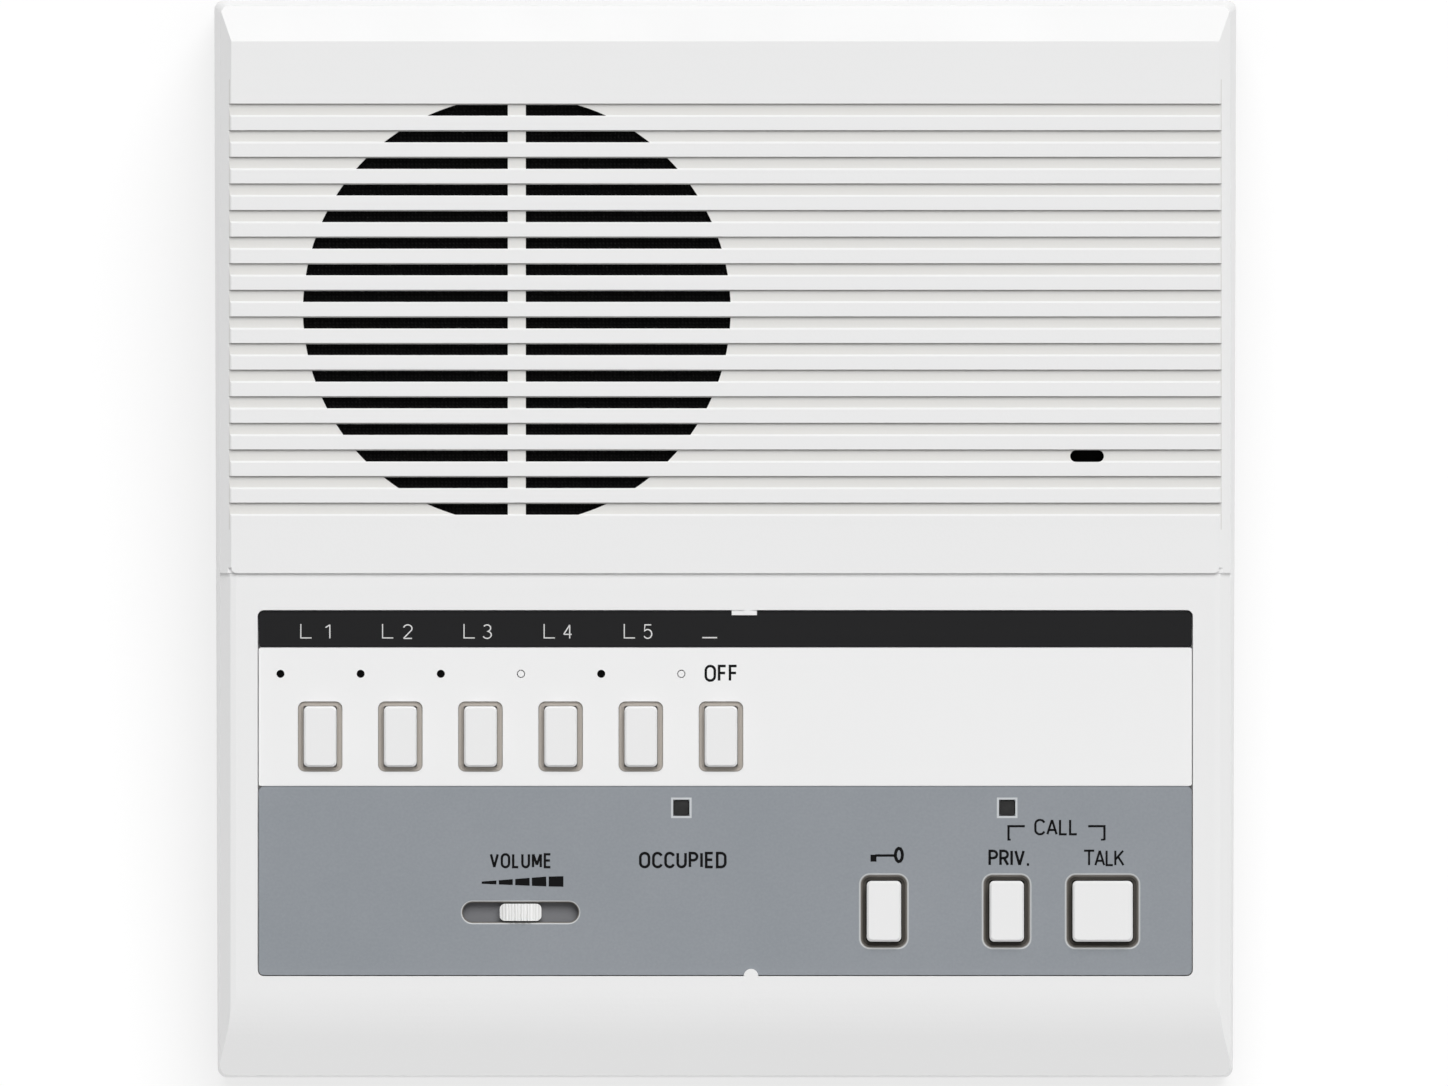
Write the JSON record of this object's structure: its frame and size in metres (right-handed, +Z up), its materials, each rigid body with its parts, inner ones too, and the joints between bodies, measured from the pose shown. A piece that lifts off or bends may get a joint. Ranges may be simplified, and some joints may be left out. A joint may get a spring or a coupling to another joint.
{
  "type": "desk intercom",
  "caption": "Low wedge desk intercom with a louvred speaker panel, latching selector keys, press keys, lamps and a sliding volume control.",
  "frame": {"origin": "on the desk plane at the centre of the bounding box", "axes": "+X to the right across the face, +Y to the rear edge, +Z up from the desk; the face rises to the rear at 7.5 degrees"},
  "size_m": [0.1918, 0.206, 0.0582],
  "materials": {
    "white_abs": "satin moulded",
    "tray_abs": "fine textured",
    "plate_white": "smooth",
    "plate_grey": "fine satin",
    "strip_black": "smooth black",
    "key_white": "smooth moulded",
    "lens_dark": "polished dark lens",
    "rubber": "matt",
    "screw_steel": "zinc plated",
    "cloth_black": "fine woven mesh",
    "cone_paper": "pressed paper",
    "basket_steel": "plated",
    "magnet_ferrite": "ferrite",
    "board_green": "solder masked",
    "part_black": "moulded",
    "part_cream": "moulded",
    "frame_steel": "plated sheet",
    "latch_brass": "pressed strip",
    "led_red": "clear tinted",
    "iron_core": "laminated, varnished",
    "cap_blue": "sleeved",
    "aluminium_fin": "extruded",
    "terminal_green": "moulded",
    "cable_grey": "flat cable"
  },
  "bodies": {
    "console": {"front_case": "white_abs", "rear_case": "tray_abs", "rubber_feet": "rubber", "case_screws": "screw_steel", "label_strip": "strip_black", "selector_plate": "plate_white", "control_plate": "plate_grey", "line_lamp_lenses": "lens_dark", "blanking_pips": "white_abs", "busy_lens": "lens_dark", "call_lens": "lens_dark", "lamp_leds": "led_red", "grille_cloth": "cloth_black", "speaker_gasket": "rubber", "speaker_basket": "basket_steel", "speaker_cone": "cone_paper", "speaker_magnet": "magnet_ferrite", "speaker_screws": "screw_steel", "microphone_boot": "rubber", "microphone": "basket_steel", "control_board": "board_green", "board_standoffs": "basket_steel", "board_screws": "screw_steel", "selector_frame": "frame_steel", "contact_block": "part_black", "door_switch": "part_black", "privacy_switch": "part_black", "talk_switch": "part_black", "volume_pot": "frame_steel", "amplifier_board": "board_green", "amplifier_standoffs": "basket_steel", "amplifier_screws": "screw_steel", "transformer": "iron_core", "capacitors": "cap_blue", "amplifier_chip": "part_black", "heat_sink": "aluminium_fin", "terminal_block": "terminal_green", "terminal_screws": "screw_steel", "ribbon_cable": "cable_grey"},
    "select_1_key": {"select_1_cap": "key_white", "select_1_plunger": "part_cream"},
    "select_2_key": {"select_2_cap": "key_white", "select_2_plunger": "part_cream"},
    "select_3_key": {"select_3_cap": "key_white", "select_3_plunger": "part_cream"},
    "select_4_key": {"select_4_cap": "key_white", "select_4_plunger": "part_cream"},
    "select_5_key": {"select_5_cap": "key_white", "select_5_plunger": "part_cream"},
    "off_key": {"off_cap": "key_white", "off_plunger": "part_cream"},
    "door_key": {"door_cap": "key_white", "door_plunger": "part_cream"},
    "privacy_key": {"privacy_cap": "key_white", "privacy_plunger": "part_cream"},
    "talk_key": {"talk_cap": "key_white", "talk_plunger": "part_cream"},
    "volume_control": {"volume_knob": "key_white", "volume_slider": "strip_black"},
    "latch": {"latch_bar": "latch_brass"}
  },
  "joints": [
    {"name": "select_1_press", "type": "slide", "parent": "console", "child": "select_1_key", "axis": [0, 0.1305, -0.9914], "range_m": [0, 0.0025], "stiffness_N_per_m": 150, "springref_m": -0.002},
    {"name": "select_2_press", "type": "slide", "parent": "console", "child": "select_2_key", "axis": [0, 0.1305, -0.9914], "range_m": [0, 0.0025], "stiffness_N_per_m": 150, "springref_m": -0.002},
    {"name": "select_3_press", "type": "slide", "parent": "console", "child": "select_3_key", "axis": [0, 0.1305, -0.9914], "range_m": [0, 0.0025], "stiffness_N_per_m": 150, "springref_m": -0.002},
    {"name": "select_4_press", "type": "slide", "parent": "console", "child": "select_4_key", "axis": [0, 0.1305, -0.9914], "range_m": [0, 0.0025], "stiffness_N_per_m": 150, "springref_m": -0.002},
    {"name": "select_5_press", "type": "slide", "parent": "console", "child": "select_5_key", "axis": [0, 0.1305, -0.9914], "range_m": [0, 0.0025], "stiffness_N_per_m": 150, "springref_m": -0.002},
    {"name": "off_press", "type": "slide", "parent": "console", "child": "off_key", "axis": [0, 0.1305, -0.9914], "range_m": [0, 0.0025], "stiffness_N_per_m": 150, "springref_m": -0.002},
    {"name": "door_press", "type": "slide", "parent": "console", "child": "door_key", "axis": [0, 0.1305, -0.9914], "range_m": [0, 0.002], "stiffness_N_per_m": 150, "springref_m": -0.002},
    {"name": "privacy_press", "type": "slide", "parent": "console", "child": "privacy_key", "axis": [0, 0.1305, -0.9914], "range_m": [0, 0.002], "stiffness_N_per_m": 150, "springref_m": -0.002},
    {"name": "talk_press", "type": "slide", "parent": "console", "child": "talk_key", "axis": [0, 0.1305, -0.9914], "range_m": [0, 0.002], "stiffness_N_per_m": 150, "springref_m": -0.002},
    {"name": "volume_slide", "type": "slide", "parent": "console", "child": "volume_control", "axis": [1, 0, 0], "range_m": [-0.00605, 0.00605]},
    {"name": "latch_bar_slide", "type": "slide", "parent": "console", "child": "latch", "axis": [1, 0, 0], "range_m": [0, 0.0012], "stiffness_N_per_m": 150, "springref_m": -0.001}
  ]
}
